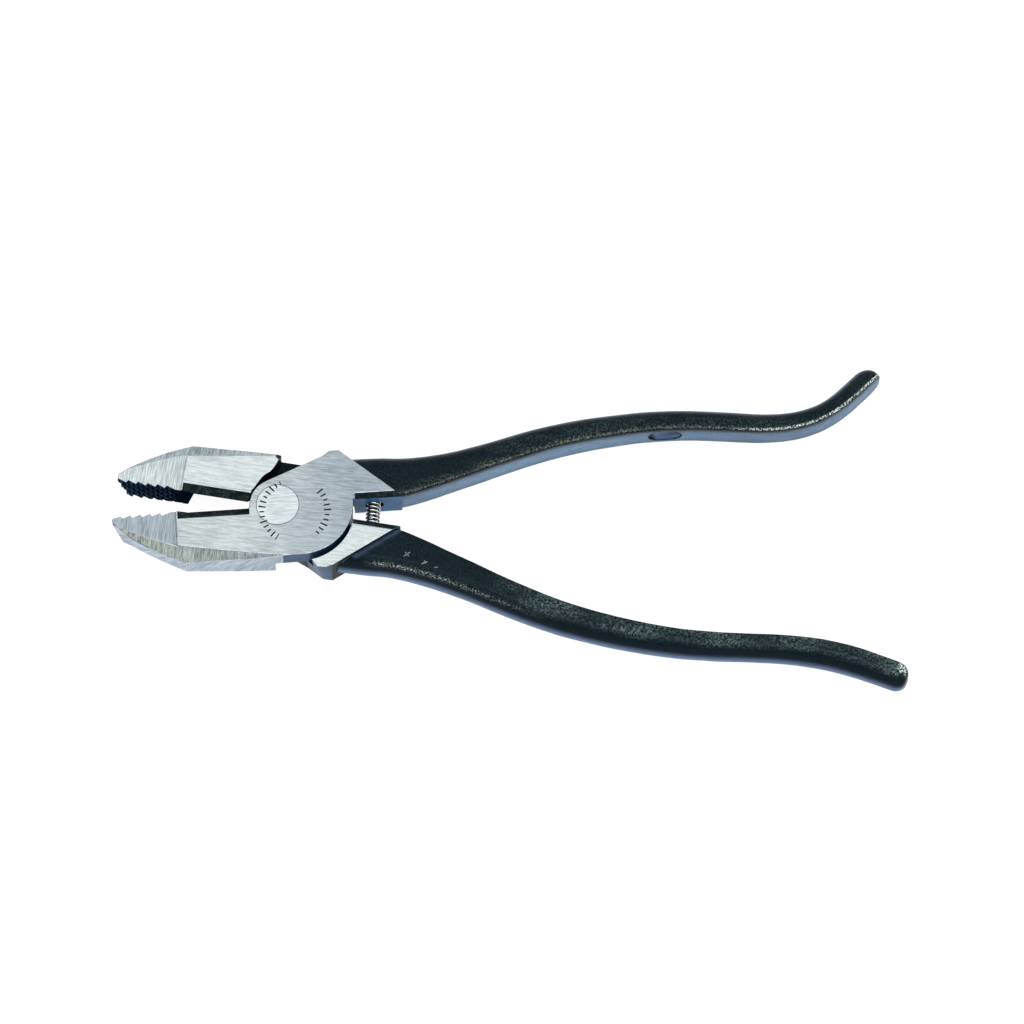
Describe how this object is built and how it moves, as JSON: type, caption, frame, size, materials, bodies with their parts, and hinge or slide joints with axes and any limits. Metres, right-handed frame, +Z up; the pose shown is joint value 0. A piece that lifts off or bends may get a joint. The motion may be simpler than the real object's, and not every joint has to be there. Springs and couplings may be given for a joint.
{
  "type": "lineman pliers",
  "caption": "Heavy side-cutting lineman pliers with a hooked handle, a plain handle, knurled square nose, knives and a coil return spring.",
  "frame": {"origin": "rivet axis at the back face of the head, which is the face the pliers lie on", "axes": "+X along the bisector of the half-open handles, towards the handle ends; +Z up out of the front face, along the rivet; +Y towards the hooked handle"},
  "size_m": [0.2318, 0.0989, 0.0125],
  "materials": {
    "hook_half_steel": "ground head, black forged handle",
    "straight_half_steel": "ground head, black forged handle",
    "rivet_steel": "ground flush",
    "spring_steel": "bright drawn wire"
  },
  "bodies": {
    "straight_half": {"straight_handle_half": "straight_half_steel", "pivot_rivet": "rivet_steel", "return_spring": "spring_steel"},
    "hook_half": {"hook_handle_half": "hook_half_steel"}
  },
  "joints": [
    {"name": "jaw_hinge", "type": "hinge", "parent": "straight_half", "child": "hook_half", "pos_m": [0, 0, 0.00625], "axis": [0, 0, 1], "range_deg": [-13.2, 22], "stiffness_Nm_per_rad": 1, "deforming": ["return_spring"]}
  ]
}
